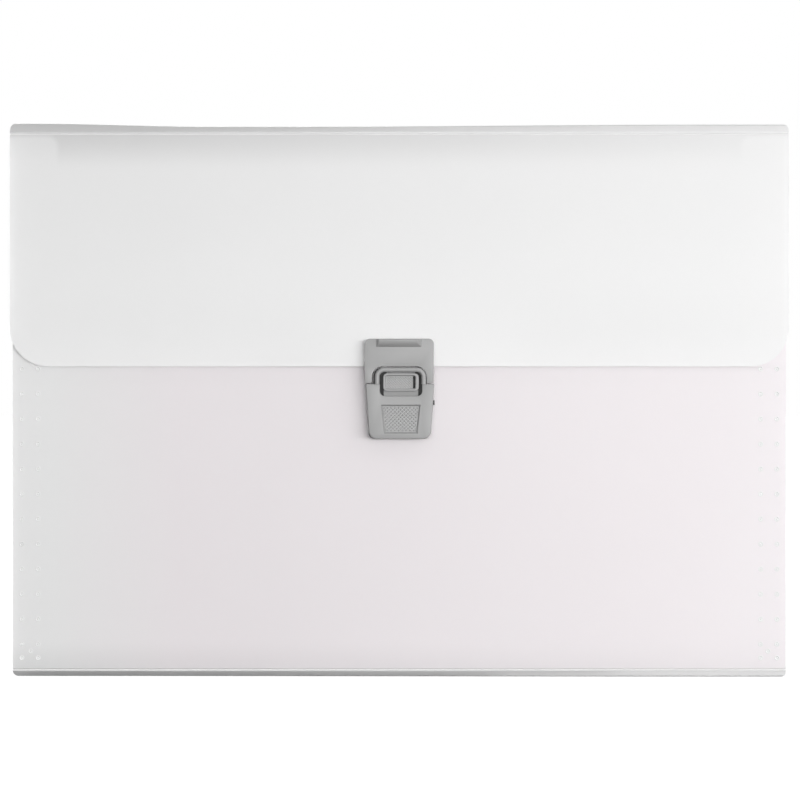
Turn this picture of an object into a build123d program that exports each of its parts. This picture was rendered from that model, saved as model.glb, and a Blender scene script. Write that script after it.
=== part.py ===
"""An expanding file for letter and A4 papers, shut and latched.

The cover is one sheet of frosted polypropylene, scored and folded into a front panel, a bottom
spine, a back panel, a top spine and a flap. Each panel is its own solid here, and every score line
is a round bead on the spine that the next panel folds about. A pleated film gusset closes each
side, six divider sheets hang between the gussets' inner folds, and a two-part plastic clasp with a
sliding button holds the flap to the front panel.

Frame: X runs along the width, Y from front to back, Z up. The origin is the middle of the flat
strip of the bottom spine that the file stands on. All sizes are in millimetres.
"""
from build123d import *
import os
from math import atan2, degrees, hypot

# Cover
file_width = 330.0         # flap and top spine
flap_overhang = 1.0        # flap and top spine past the panels, at each side
file_height = 235.0        # floor to the crown of the top spine
pack_depth = 36.0          # outside of the front panel to outside of the back panel
cover_sheet = 0.8          # thickness of the cover sheet
flap_gap = 2.0             # air between the flap and the front panel
flap_length = 99.1         # top front crease down to the flap's lower edge
flap_corner = 16.0         # radius of the flap's lower corners
bottom_rise = 2.4          # bottom creases above the flat strip
bottom_facet = 5.6         # run of each sloping strip of the bottom spine
top_drop = 3.8             # top creases below the crown
top_facet = 6.0            # run of each sloping strip of the top spine
spine_corner = 2.2         # rounding of the spines' ends, seen from the front
panel_below_crease = 12.0  # front panel's top edge below the top creases
panel_corner = 4.0         # radius of the front panel's upper corners
crease_gap = 0.2           # bead of a crease to the sheet that folds about it
score_land = 0.2           # sheet left at the bottom of a score line

# Gussets and dividers
pocket_count = 7
film = 0.3                 # thickness of the gusset film
film_gap = 0.1             # gusset flange to the panel it is welded to
pleat_depth = 18.0         # inner fold to outer fold
gusset_inset = 1.0         # outer folds inside the panel's side edge
gusset_foot = 4.0          # gusset's lower edge above the floor
gusset_below_crease = 1.8  # gusset's upper edge below the top creases
divider_sheet = 0.4
divider_gap = 0.2          # divider's side edge to the inner fold that carries it
divider_foot = 3.4         # divider's lower edge above the floor
divider_below_crease = 8.0
divider_corner = 3.0
tab_width = 40.0
tab_height = 5.0
tab_corner = 2.0

# Spot welds that hold a gusset's flange to a panel
weld_radius = 0.75
weld_depth = 0.25
weld_columns = (3.8, 10.7)  # in from the panel's side edge
weld_pitch = 10.62
weld_first_row = 13.9      # above the floor
weld_last_margin = 8.0     # last row below the panel's top edge, at least
weld_foot_row = 8.1
weld_foot_extra = (7.6, 10.9)  # in from the side edge, above the floor

# Clasp
clasp_depth = 7.0          # front panel's outside face to the clasp's face
clasp_edge = 0.5           # rounding of the clasp's front edges
clasp_fit = 0.05           # moulded stud to its hole, all round
stud_radius = 1.3
stud_head_radius = 2.0
stud_head = 0.6
catch_top_width = 29.3
catch_foot_width = 28.9
catch_above_edge = 11.7    # catch plate's top above the flap's lower edge
catch_overhang = 6.9       # catch plate's foot below the flap's lower edge
catch_corner = 2.2
catch_wall = 1.5
catch_skirt_gap = 0.4      # skirts to the front panel
catch_stud_spread = 18.0
catch_stud_below_top = 5.4
catch_backing = 1.0
lip_width = 19.8
lip_height = 3.4
lip_reach = 1.8            # how far the lip stands out
lip_slope = 2.4            # slope at each end of the lip
lip_crest = 1.3            # lip's full reach below the catch plate's top
notch_margin = 0.3         # flap's notch round the arch, past the catch plate's cut-out
seam_gap = 0.5             # catch plate to latch housing
latch_height = 23.2
latch_top_width = 28.7
latch_foot_width = 25.6
latch_corner = 2.4
latch_wall = 1.6
latch_base_sheet = 1.2
latch_backing = 1.2
latch_backing_margin = 0.8
arch_width = 21.8
arch_height = 7.0          # arch above the housing's shoulder
arch_wall = 2.0
arch_corner = 4.0
arch_proud = 1.1           # arch stands out past the clasp's face
arch_gap = 0.7             # arch to the catch plate's cut-out
button_width = 15.4
button_height = 7.6
button_corner = 1.4
button_proud = 0.4
button_top_gap = 0.5
button_travel = 1.8
button_stop_gap = 0.2      # left under the button at full travel
button_recess_width = 12.5
button_recess_height = 5.5
button_recess = 1.0
slider_gap = 0.2           # running clearance of the slider in the housing
slider_sheet = 2.8
slider_foot_width = 20.8
slider_foot_height = 2.2
slider_foot_below = 2.3    # slider's foot under the window's sill
lip_blade_width = 7.0
lip_blade = 1.6
lip_blade_gap = 0.2        # blade's tip under the catch plate's edge
spring_span = 17.0
spring_rise = 5.1
spring_strip = 0.4
spring_gap = 0.1
chamber_width = 22.0
inlay_top_width = 16.4
inlay_foot_width = 14.2
inlay_height = 12.2
inlay_above_foot = 2.2
inlay_depth = 0.4
latch_stud_spread_foot = 17.0
latch_stud_foot_row = 4.2   # above the housing's foot
latch_stud_spread_top = 24.9
latch_stud_top_row = 17.4
side_lug_height = 2.0
side_lug_row = 15.3         # above the housing's foot
side_lug_reach = 0.6

# Places that follow from the sizes above
panel_width = file_width - 2 * flap_overhang
front_face = -pack_depth / 2
front_inside = front_face + cover_sheet
back_face = pack_depth / 2
flap_inside = front_face - flap_gap
flap_face = flap_inside - cover_sheet
front_crease_y = front_face + cover_sheet / 2
back_crease_y = back_face - cover_sheet / 2
flap_crease_y = flap_face + cover_sheet / 2
bottom_flat_z = cover_sheet / 2
bottom_crease_z = bottom_flat_z + bottom_rise
crown_z = file_height - cover_sheet / 2
top_crease_z = crown_z - top_drop
crease_offset = cover_sheet / 2 + crease_gap
score_chamfer = (cover_sheet - score_land) / 2
panel_foot_z = bottom_crease_z + crease_offset
panel_top_z = top_crease_z - panel_below_crease
sheet_top_z = top_crease_z - crease_offset
flap_edge_z = top_crease_z - flap_length

outer_fold_x = panel_width / 2 - gusset_inset
inner_fold_x = outer_fold_x - pleat_depth
first_fold_y = front_inside + film_gap + film / 2
pleat_pitch = -2 * first_fold_y / pocket_count

clasp_face = front_face - clasp_depth
catch_top_z = flap_edge_z + catch_above_edge
catch_foot_z = flap_edge_z - catch_overhang
shoulder_z = catch_foot_z - seam_gap
arch_top_z = shoulder_z + arch_height
cutout_top_z = arch_top_z + arch_gap
latch_foot_z = shoulder_z - latch_height
latch_base_face = front_face - latch_base_sheet
chamber_face = clasp_face + latch_wall
window_half = arch_width / 2 - arch_wall
window_top_z = arch_top_z - arch_wall
button_top_z = window_top_z - button_top_gap
button_foot_z = button_top_z - button_height
sill_z = button_foot_z - button_travel - button_stop_gap
slider_foot_z = sill_z - slider_foot_below
spring_floor_z = slider_foot_z - spring_gap - spring_rise
slider_front = chamber_face + slider_gap
blade_middle = slider_front + slider_sheet / 2
latch_studs = [(side * spread / 2, latch_foot_z + row)
               for spread, row in ((latch_stud_spread_foot, latch_stud_foot_row),
                                   (latch_stud_spread_top, latch_stud_top_row))
               for side in (-1, 1)]
catch_studs = [(side * catch_stud_spread / 2, catch_top_z - catch_stud_below_top)
               for side in (-1, 1)]


def front_plane(y):
    """A sketch plane facing the front at depth y: its own x is X and its own y is Z."""
    return Plane.XZ.offset(-y)


def folded_band(points, thickness):
    """In a sketch: a sheet of one thickness along the points, with every fold and end rounded."""
    for (ax, ay), (bx, by) in zip(points, points[1:]):
        with Locations(((ax + bx) / 2, (ay + by) / 2)):
            SlotCenterToCenter(hypot(bx - ax, by - ay), thickness,
                               rotation=degrees(atan2(by - ay, bx - ax)))


def tapered_plate(top_width, foot_width, top, foot):
    """In a sketch: a symmetrical plate that is wider or narrower at its foot."""
    Polygon((-foot_width / 2, foot), (foot_width / 2, foot), (top_width / 2, top), (-top_width / 2, top),
            align=None)


def weld_places(top):
    """Spot welds down both sides of a panel whose top edge is at this height."""
    rows = int((top - weld_last_margin - weld_first_row) / weld_pitch) + 1
    heights = [weld_foot_row] + [weld_first_row + weld_pitch * row for row in range(rows)]
    spots = [(inset, height) for inset in weld_columns for height in heights] + [weld_foot_extra]
    return [(side * (panel_width / 2 - inset), height) for side in (-1, 1) for inset, height in spots]


# Bottom spine: a flat strip to stand on and a sloping strip up to each bottom crease
with BuildPart() as bottom_spine:
    with BuildSketch(Plane.YZ):
        folded_band([(front_crease_y, bottom_crease_z), (front_crease_y + bottom_facet, bottom_flat_z),
                     (back_crease_y - bottom_facet, bottom_flat_z), (back_crease_y, bottom_crease_z)],
                    cover_sheet)
    extrude(amount=panel_width / 2, both=True)
    with BuildSketch(front_plane(0)) as bottom_outline:
        with Locations((0, panel_foot_z)):
            RectangleRounded(panel_width, 2 * panel_foot_z, spine_corner)
    extrude(amount=pack_depth, both=True, mode=Mode.INTERSECT)

# Top spine: the same shape turned over, wide enough to reach the flap
with BuildPart() as top_spine:
    with BuildSketch(Plane.YZ):
        folded_band([(flap_crease_y, top_crease_z), (flap_crease_y + top_facet, crown_z),
                     (back_crease_y - top_facet, crown_z), (back_crease_y, top_crease_z)],
                    cover_sheet)
    extrude(amount=file_width / 2, both=True)
    with BuildSketch(front_plane(0)) as top_outline:
        with Locations((0, sheet_top_z)):
            RectangleRounded(file_width, 2 * (file_height - sheet_top_z), spine_corner)
    extrude(amount=pack_depth, both=True, mode=Mode.INTERSECT)

# Front panel: scored at its foot, with rounded upper corners and the latch's stud holes
with BuildPart() as front_panel:
    with BuildSketch(front_plane(front_inside)):
        with Locations((0, (panel_foot_z + panel_top_z) / 2)):
            Rectangle(panel_width, panel_top_z - panel_foot_z)
    extrude(amount=cover_sheet)
    fillet(front_panel.edges().filter_by(Axis.Y).group_by(Axis.Z)[-1], panel_corner)
    chamfer(front_panel.faces().sort_by(Axis.Z)[0].edges().filter_by(Axis.X), score_chamfer)
    with Locations(front_plane(front_inside)):
        with Locations(latch_studs):
            Cylinder(stud_radius + clasp_fit, 3 * cover_sheet, mode=Mode.SUBTRACT)
    with BuildSketch(front_plane(front_face)):
        with Locations(weld_places(panel_top_z)):
            Circle(weld_radius)
    extrude(amount=-weld_depth, mode=Mode.SUBTRACT)

# Back panel: scored at both ends
with BuildPart() as back_panel:
    with BuildSketch(front_plane(back_face)):
        with Locations((0, (panel_foot_z + sheet_top_z) / 2)):
            Rectangle(panel_width, sheet_top_z - panel_foot_z)
    extrude(amount=cover_sheet)
    for end_face in (back_panel.faces().sort_by(Axis.Z)[0], back_panel.faces().sort_by(Axis.Z)[-1]):
        chamfer(end_face.edges().filter_by(Axis.X), score_chamfer)
    with BuildSketch(front_plane(back_face)):
        with Locations(weld_places(sheet_top_z)):
            Circle(weld_radius)
    extrude(amount=weld_depth, mode=Mode.SUBTRACT)

# Flap: scored at its head, with big lower corners and a notch where the latch's arch comes through
with BuildPart() as flap:
    with BuildSketch(front_plane(flap_inside)):
        with Locations((0, (flap_edge_z + sheet_top_z) / 2)):
            Rectangle(file_width, sheet_top_z - flap_edge_z)
    extrude(amount=cover_sheet)
    fillet(flap.edges().filter_by(Axis.Y).group_by(Axis.Z)[0], flap_corner)
    chamfer(flap.faces().sort_by(Axis.Z)[-1].edges().filter_by(Axis.X), score_chamfer)
    with BuildSketch(front_plane(flap_inside)):
        with Locations((0, flap_edge_z)):
            Rectangle(arch_width + 2 * arch_gap, 2 * (cutout_top_z + notch_margin - flap_edge_z))
        with Locations(catch_studs):
            Circle(stud_radius + clasp_fit)
    extrude(amount=cover_sheet, mode=Mode.SUBTRACT)

# Gussets: a flange on each panel and one outward pleat for each pocket between them
fold_line = [(outer_fold_x, first_fold_y)]
for pleat in range(pocket_count):
    fold_line += [(inner_fold_x, first_fold_y + pleat * pleat_pitch),
                  (outer_fold_x, first_fold_y + (pleat + 0.5) * pleat_pitch)]
fold_line += [(inner_fold_x, -first_fold_y), (outer_fold_x, -first_fold_y)]

with BuildPart() as right_gusset:
    with BuildSketch(Plane.XY.offset(gusset_foot)):
        folded_band(fold_line, film)
    extrude(amount=top_crease_z - gusset_below_crease - gusset_foot)

with BuildPart() as left_gusset:
    add(mirror(right_gusset.part, about=Plane.YZ, mode=Mode.PRIVATE))

# Dividers, counted from the back, each with an index tab further to the right
dividers = []
divider_half = inner_fold_x - film / 2 - divider_gap
divider_top_z = top_crease_z - divider_below_crease
tab_step = 2 * (divider_half - tab_width) / pocket_count
for count in range(1, pocket_count):
    divider_y = -first_fold_y - count * pleat_pitch
    tab_x = (count - pocket_count / 2) * tab_step
    with BuildPart() as divider:
        with BuildSketch(front_plane(divider_y + divider_sheet / 2)):
            with Locations((0, (divider_foot + divider_top_z) / 2)):
                RectangleRounded(2 * divider_half, divider_top_z - divider_foot, divider_corner)
        extrude(amount=divider_sheet)
        with BuildSketch(front_plane(divider_y + divider_sheet / 2)):
            with Locations((tab_x, divider_top_z)):
                RectangleRounded(tab_width, 2 * tab_height, tab_corner)
        extrude(amount=divider_sheet)
    dividers.append(divider)

# Lip: the thumb's ledge at the head of the catch plate, sloped at both ends and rounded over its crest
with BuildPart() as lip:
    with BuildSketch(Plane.XY.offset(catch_top_z - lip_height)):
        with BuildLine():
            Polyline((-lip_width / 2, clasp_face + clasp_edge), (-lip_width / 2, clasp_face),
                     (-lip_width / 2 + lip_slope, clasp_face - lip_reach),
                     (lip_width / 2 - lip_slope, clasp_face - lip_reach), (lip_width / 2, clasp_face),
                     (lip_width / 2, clasp_face + clasp_edge), close=True)
        make_face()
    extrude(amount=lip_height)
    with BuildSketch(Plane.YZ):
        with BuildLine():
            under = Line((clasp_face + clasp_edge, catch_top_z - lip_height),
                         (clasp_face, catch_top_z - lip_height))
            slope = Line(under @ 1, (clasp_face - lip_reach, catch_top_z - lip_crest))
            crest = TangentArc(slope @ 1, (clasp_face - lip_reach / 2, catch_top_z), tangent=(0, 1))
            Polyline(crest @ 1, (clasp_face + clasp_edge, catch_top_z), under @ 0)
        make_face()
    extrude(amount=lip_width / 2, both=True, mode=Mode.INTERSECT)

# Catch plate, on the flap: a moulded plate with a cut-out for the arch, a lifting lip and two studs
with BuildPart() as catch_plate:
    with BuildSketch(front_plane(flap_face)):
        tapered_plate(catch_top_width, catch_foot_width, catch_top_z, catch_foot_z)
    extrude(amount=flap_face - clasp_face)
    fillet(catch_plate.edges().filter_by(Axis.Y).group_by(Axis.Z)[-1], catch_corner)
    with BuildSketch(front_plane(front_face - catch_skirt_gap)):
        tapered_plate(catch_foot_width, catch_foot_width, flap_edge_z - seam_gap, catch_foot_z)
    extrude(amount=front_face - catch_skirt_gap - flap_face)
    with BuildSketch(front_plane(0)):
        with Locations((0, catch_foot_z)):
            RectangleRounded(arch_width + 2 * arch_gap, 2 * (cutout_top_z - catch_foot_z),
                             arch_corner + arch_gap)
    extrude(amount=2 * pack_depth, mode=Mode.SUBTRACT)
    fillet(catch_plate.faces().sort_by(Axis.Y)[0].edges(), clasp_edge)
    with BuildSketch(front_plane(flap_face)):
        with Locations((0, (catch_top_z - catch_wall + cutout_top_z + catch_wall) / 2)):
            Rectangle(catch_top_width - 2 * catch_wall - 2 * clasp_edge,
                      catch_top_z - cutout_top_z - 2 * catch_wall)
    extrude(amount=flap_face - clasp_face - catch_wall, mode=Mode.SUBTRACT)
    with BuildSketch(front_plane(clasp_face + catch_wall)):
        with Locations(catch_studs):
            Circle(stud_radius)
    extrude(amount=-(flap_inside + catch_backing - clasp_face - catch_wall))
    with BuildSketch(front_plane(flap_inside + catch_backing)):
        with Locations(catch_studs):
            Circle(stud_head_radius)
    extrude(amount=-stud_head)
    add(lip.part)

# Backing plate behind the flap, under the catch plate's stud heads
with BuildPart() as catch_backing_plate:
    with BuildSketch(front_plane(flap_inside)):
        with Locations((0, (catch_top_z - catch_wall + cutout_top_z + catch_wall) / 2)):
            RectangleRounded(catch_top_width - 2 * catch_wall - 2 * clasp_edge,
                             catch_top_z - cutout_top_z - 2 * catch_wall, catch_corner / 2)
        with Locations(catch_studs):
            Circle(stud_radius + clasp_fit, mode=Mode.SUBTRACT)
    extrude(amount=-catch_backing)

# Latch housing, on the front panel: a hollow plate, and the arch that the button shows through
with BuildPart() as latch_housing:
    with BuildSketch(front_plane(latch_base_face)):
        tapered_plate(latch_top_width, latch_foot_width, shoulder_z, latch_foot_z)
    extrude(amount=latch_base_face - clasp_face)
    fillet(latch_housing.edges().filter_by(Axis.Y).group_by(Axis.Z)[0], latch_corner)
    fillet(latch_housing.faces().sort_by(Axis.Y)[0].edges(), clasp_edge)
    with BuildSketch(front_plane(latch_base_face)):
        with Locations((0, shoulder_z - clasp_edge)):
            RectangleRounded(arch_width, 2 * (arch_height + clasp_edge), arch_corner)
        with Locations((0, shoulder_z - arch_height - 2 * clasp_edge)):
            Rectangle(2 * arch_width, 2 * arch_height + 2 * clasp_edge, mode=Mode.SUBTRACT)
    extrude(amount=latch_base_face - clasp_face + arch_proud)
    fillet(latch_housing.faces().sort_by(Axis.Y)[0].edges().group_by(Axis.Z)[1:], clasp_edge)
    with BuildSketch(front_plane(latch_base_face)):
        with Locations((0, (sill_z + window_top_z) / 2)):
            RectangleRounded(2 * window_half, window_top_z - sill_z, button_corner)
    extrude(amount=2 * clasp_depth, mode=Mode.SUBTRACT)
    with BuildSketch(front_plane(latch_base_face)):
        with Locations((0, (spring_floor_z + shoulder_z - latch_wall) / 2)):
            Rectangle(chamber_width, shoulder_z - latch_wall - spring_floor_z)
    extrude(amount=latch_base_face - chamber_face, mode=Mode.SUBTRACT)
    with BuildSketch(Plane.XY.offset(window_top_z - slider_gap)):
        with Locations((0, blade_middle)):
            Rectangle(lip_blade_width + 2 * slider_gap, lip_blade + 2 * slider_gap)
    extrude(amount=arch_wall + 2 * slider_gap, mode=Mode.SUBTRACT)
    with BuildSketch(front_plane(clasp_face)):
        tapered_plate(inlay_top_width, inlay_foot_width,
                      latch_foot_z + inlay_above_foot + inlay_height, latch_foot_z + inlay_above_foot)
    extrude(amount=-inlay_depth, mode=Mode.SUBTRACT)
    with BuildSketch(front_plane(chamber_face)):
        with Locations(latch_studs):
            Circle(stud_radius)
    extrude(amount=-(front_inside + latch_backing - chamber_face))
    with BuildSketch(front_plane(front_inside + latch_backing)):
        with Locations(latch_studs):
            Circle(stud_head_radius)
    extrude(amount=-stud_head)

# Latch base: closes the back of the housing, with a tongue behind the arch and one side lug
with BuildPart() as latch_base:
    with BuildSketch(front_plane(front_face)):
        tapered_plate(latch_top_width, latch_foot_width, shoulder_z, latch_foot_z)
    extrude(amount=latch_base_sheet)
    fillet(latch_base.edges().filter_by(Axis.Y).group_by(Axis.Z)[0], latch_corner)
    with BuildSketch(front_plane(front_face)):
        with Locations((0, shoulder_z)):
            RectangleRounded(arch_width, 2 * arch_height, arch_corner)
    extrude(amount=latch_base_sheet)
    with BuildSketch(front_plane(front_face)):
        with Locations((latch_top_width / 2, latch_foot_z + side_lug_row)):
            Rectangle(2 * side_lug_reach, side_lug_height)
    extrude(amount=latch_base_sheet)
    with BuildSketch(front_plane(front_face)):
        with Locations(latch_studs):
            Circle(stud_radius + clasp_fit)
    extrude(amount=latch_base_sheet, mode=Mode.SUBTRACT)

# Backing plate inside the front panel, under the housing's stud heads
with BuildPart() as latch_backing_plate:
    with BuildSketch(front_plane(front_inside + latch_backing)):
        tapered_plate(latch_top_width + latch_backing_margin, latch_foot_width + latch_backing_margin,
                      shoulder_z, latch_foot_z)
        with Locations(latch_studs):
            Circle(stud_radius + clasp_fit, mode=Mode.SUBTRACT)
    extrude(amount=latch_backing)
    fillet(latch_backing_plate.edges().filter_by(Axis.Y).filter_by(GeomType.LINE)
           .group_by(Axis.Z)[0], latch_corner)

# Slider: the button, its foot behind the housing's wall, and the blade that holds the catch plate
with BuildPart() as latch_slider:
    with BuildSketch(front_plane(slider_front)):
        with Locations((0, (button_foot_z + button_top_z) / 2)):
            RectangleRounded(button_width, button_height, button_corner)
    extrude(amount=slider_front - clasp_face + button_proud)
    fillet(latch_slider.faces().sort_by(Axis.Y)[0].edges(), clasp_edge)
    with BuildSketch(front_plane(clasp_face - button_proud)):
        with Locations((0, (button_foot_z + button_top_z) / 2)):
            RectangleRounded(button_recess_width, button_recess_height, button_corner / 2)
    extrude(amount=-button_recess, mode=Mode.SUBTRACT)
    with BuildSketch(front_plane(slider_front + slider_sheet)):
        with Locations((0, (slider_foot_z + button_top_z) / 2)):
            Rectangle(button_width, button_top_z - slider_foot_z)
        with Locations((0, slider_foot_z + slider_foot_height / 2)):
            Rectangle(slider_foot_width, slider_foot_height)
    extrude(amount=slider_sheet)
    with BuildSketch(Plane.XY.offset(button_top_z)):
        with Locations((0, blade_middle)):
            Rectangle(lip_blade_width, lip_blade)
    extrude(amount=cutout_top_z - lip_blade_gap - button_top_z)

# Spring: a bowed strip that holds the slider up
with BuildPart() as latch_spring:
    with BuildSketch(front_plane(slider_front + slider_sheet - slider_gap)):
        with BuildLine():
            foot = spring_floor_z + slider_gap / 2
            crown = slider_foot_z - spring_gap
            outer = ThreePointArc((-spring_span / 2, foot), (0, crown), (spring_span / 2, foot))
            inner = ThreePointArc((-spring_span / 2 + spring_strip, foot), (0, crown - spring_strip),
                                  (spring_span / 2 - spring_strip, foot))
            Line(outer @ 0, inner @ 0)
            Line(outer @ 1, inner @ 1)
        make_face()
    extrude(amount=slider_sheet - 2 * slider_gap)

pieces = {
    "bottom_spine": bottom_spine,
    "top_spine": top_spine,
    "front_panel": front_panel,
    "back_panel": back_panel,
    "flap": flap,
    "left_gusset": left_gusset,
    "right_gusset": right_gusset,
    "catch_plate": catch_plate,
    "catch_backing_plate": catch_backing_plate,
    "latch_housing": latch_housing,
    "latch_base": latch_base,
    "latch_backing_plate": latch_backing_plate,
    "latch_slider": latch_slider,
    "latch_spring": latch_spring,
}
pieces |= {f"divider_{count}": divider for count, divider in enumerate(dividers, start=1)}

os.makedirs("parts", exist_ok=True)
for name, piece in pieces.items():
    piece.part.label = name
    export_step(piece.part, f"parts/{name}.step")
    print(name, len(piece.solids()), round(piece.part.volume, 1))
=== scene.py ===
# %% [markdown]
# An expanding file, shut and latched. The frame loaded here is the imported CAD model: every panel,
# divider and clasp part at its real size, standing on the floor with its front towards -Y. This
# scene dresses it. Flat sheets stay as the CAD nodes and get their finish, and whatever bends, is
# moulded or has fine relief is modelled here in their place.

from math import atan2, hypot, pi, radians

import bmesh
import bpy
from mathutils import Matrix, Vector


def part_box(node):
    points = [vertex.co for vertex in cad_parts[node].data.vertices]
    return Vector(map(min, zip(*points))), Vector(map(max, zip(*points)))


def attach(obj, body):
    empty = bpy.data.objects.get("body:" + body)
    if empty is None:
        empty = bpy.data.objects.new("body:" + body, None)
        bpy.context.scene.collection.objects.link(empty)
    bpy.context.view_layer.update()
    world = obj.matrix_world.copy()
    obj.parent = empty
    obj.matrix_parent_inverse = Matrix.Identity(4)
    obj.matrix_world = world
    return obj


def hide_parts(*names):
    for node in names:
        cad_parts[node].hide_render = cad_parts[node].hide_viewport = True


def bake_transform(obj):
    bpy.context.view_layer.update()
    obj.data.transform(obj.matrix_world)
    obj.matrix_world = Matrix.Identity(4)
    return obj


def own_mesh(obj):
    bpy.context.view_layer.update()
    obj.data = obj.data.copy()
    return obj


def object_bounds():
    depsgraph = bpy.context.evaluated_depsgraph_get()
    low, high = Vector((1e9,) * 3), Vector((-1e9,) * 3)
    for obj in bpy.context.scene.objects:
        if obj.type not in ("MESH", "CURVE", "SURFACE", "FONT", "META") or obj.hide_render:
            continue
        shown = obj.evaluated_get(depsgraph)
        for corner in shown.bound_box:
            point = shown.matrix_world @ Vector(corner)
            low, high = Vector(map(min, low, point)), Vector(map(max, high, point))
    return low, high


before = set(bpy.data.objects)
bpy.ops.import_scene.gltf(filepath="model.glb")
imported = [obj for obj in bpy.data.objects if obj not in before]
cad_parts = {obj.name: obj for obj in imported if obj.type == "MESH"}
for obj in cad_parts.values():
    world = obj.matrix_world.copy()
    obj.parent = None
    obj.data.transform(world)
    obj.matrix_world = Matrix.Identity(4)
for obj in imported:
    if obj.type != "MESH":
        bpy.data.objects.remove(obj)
cad_low, cad_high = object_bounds()
MM = 0.001
print("CAD box in mm:", [round(value / MM, 1) for value in (*cad_low, *cad_high)])

# %% [markdown]
# Materials are built from nodes, and one function adds a node with its settings and its links. Colours
# are given as hex codes, the way they look on a screen, while Blender computes with linear light, so one
# function turns the first into the second.

# %% Node and colour helpers
def linear(hex_colour):
    """Linear RGBA of an sRGB hex colour such as '#AFAFAF'."""
    channels = [int(hex_colour[start:start + 2], 16) / 255 for start in (1, 3, 5)]
    return [c / 12.92 if c <= 0.04045 else ((c + 0.055) / 1.055) ** 2.4 for c in channels] + [1.0]


def add_node(tree, kind, inputs=None, **settings):
    """Adds one node. An input is a value for its socket, or the output socket that feeds it."""
    made = tree.nodes.new(kind)
    for name, value in settings.items():
        setattr(made, name, value)
    for name, value in (inputs or {}).items():
        if isinstance(value, bpy.types.NodeSocket):
            tree.links.new(value, made.inputs[name])
        else:
            made.inputs[name].default_value = value
    return made


def new_material(name):
    """An empty node material, its tree and its output node."""
    material = bpy.data.materials.new(name)
    material.use_nodes = True
    material.node_tree.nodes.clear()
    return material, material.node_tree, add_node(material.node_tree, "ShaderNodeOutputMaterial")


# %% [markdown]
# Next to a crease the sheet stands away from what it covers, and the hollow shows through it as a soft
# shade, which is painted into the sheet's colour here. The painted shade is deepest on the left, away
# from the light, and faint where the film's flange lies right behind the sheet, so that the flange's
# round corner shows. A mix by height and by side paints it, weakened inside that corner by the distance
# from the centre of its round.

# %% Painted shade of a hollow
sheet_half = 165.0
inner_fold = 145.0
flange_round = 4.0
blur_start = 3.1
blur_end = 5.3
kept_over_flange = 0.35


def crease_shade(tree, place, colour, dark, start, end, left, right, flange_top):
    """The colour with painted shade between two heights in millimetres, less over a flange up to its top.
    """
    spot = add_node(tree, "ShaderNodeSeparateXYZ", {0: place})
    near = add_node(tree, "ShaderNodeMapRange", {
        "Value": spot.outputs["Z"], "From Min": start * MM, "From Max": end * MM},
        interpolation_type="SMOOTHSTEP")
    side = add_node(tree, "ShaderNodeMapRange", {
        "Value": spot.outputs["X"], "From Min": -sheet_half * MM, "From Max": sheet_half * MM,
        "To Min": left, "To Max": right})
    across = add_node(tree, "ShaderNodeMath", {0: spot.outputs["X"]}, operation="ABSOLUTE")
    inward = add_node(tree, "ShaderNodeMath", {0: (inner_fold + flange_round) * MM, 1: across.outputs[0]},
                      operation="SUBTRACT", use_clamp=True)
    upward = add_node(tree, "ShaderNodeMath", {0: spot.outputs["Z"], 1: (flange_top - flange_round) * MM},
                      operation="SUBTRACT", use_clamp=True)
    offset = add_node(tree, "ShaderNodeCombineXYZ", {"X": inward.outputs[0], "Y": upward.outputs[0]})
    reach = add_node(tree, "ShaderNodeVectorMath", {0: offset.outputs[0]}, operation="LENGTH")
    clear = add_node(tree, "ShaderNodeMapRange", {
        "Value": reach.outputs["Value"], "From Min": blur_start * MM, "From Max": blur_end * MM,
        "To Min": kept_over_flange}, clamp=True)
    amount = add_node(tree, "ShaderNodeMath", {0: near.outputs[0], 1: side.outputs[0]},
                      operation="MULTIPLY")
    amount = add_node(tree, "ShaderNodeMath", {0: amount.outputs[0], 1: clear.outputs[0]},
                      operation="MULTIPLY")
    shaded = add_node(tree, "ShaderNodeMix", {"Factor": amount.outputs[0]}, data_type="RGBA")
    tree.links.new(colour, shaded.inputs[6])
    shaded.inputs[7].default_value = linear(dark)
    return shaded.outputs[2]


# %% [markdown]
# What lies right behind a milky sheet shows through it faintly. The tinted dividers give the front panel
# a trace of pink, except at the left, where the flange lies between. The other fades are painted shade,
# for how the light falls: the flap darker towards its top, and the front panel and the top spine's crown
# darker towards the left. Multiplying mixes that fade in along an axis give all of these.

# %% Tint from behind and painted shade
def tinted_or_shaded(tree, place, colour, tint, axis, start, end):
    """The colour with a multiplying tint that fades in between two places along an axis in millimetres;
    several of these tints are painted shade.
    """
    spot = add_node(tree, "ShaderNodeSeparateXYZ", {0: place})
    share = add_node(tree, "ShaderNodeMapRange", {
        "Value": spot.outputs[axis], "From Min": start * MM, "From Max": end * MM})
    mixed = add_node(tree, "ShaderNodeMix", {"Factor": share.outputs[0]}, data_type="RGBA",
                     blend_type="MULTIPLY")
    tree.links.new(colour, mixed.inputs[6])
    mixed.inputs[7].default_value = linear(tint)
    return mixed.outputs[2]


# %% [markdown]
# Polypropylene sheet is extruded between a polished and a matt roll, so it is milky: part of the light
# bounces off the haze inside it, part goes through and comes out scattered. A Principled shader gives
# the haze and the soft sheen, a Translucent one gives the light from behind, and the share between
# them is the sheet's thickness. The matt roll leaves a fine tooth of about 0.4 mm, and sheet that has
# been rolled up keeps a slow wave, about 90 mm long and a third of a millimetre high.

# %% Frosted polypropylene
sheet_tooth = 0.4
sheet_wave = 90.0
wave_height = 0.35


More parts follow.
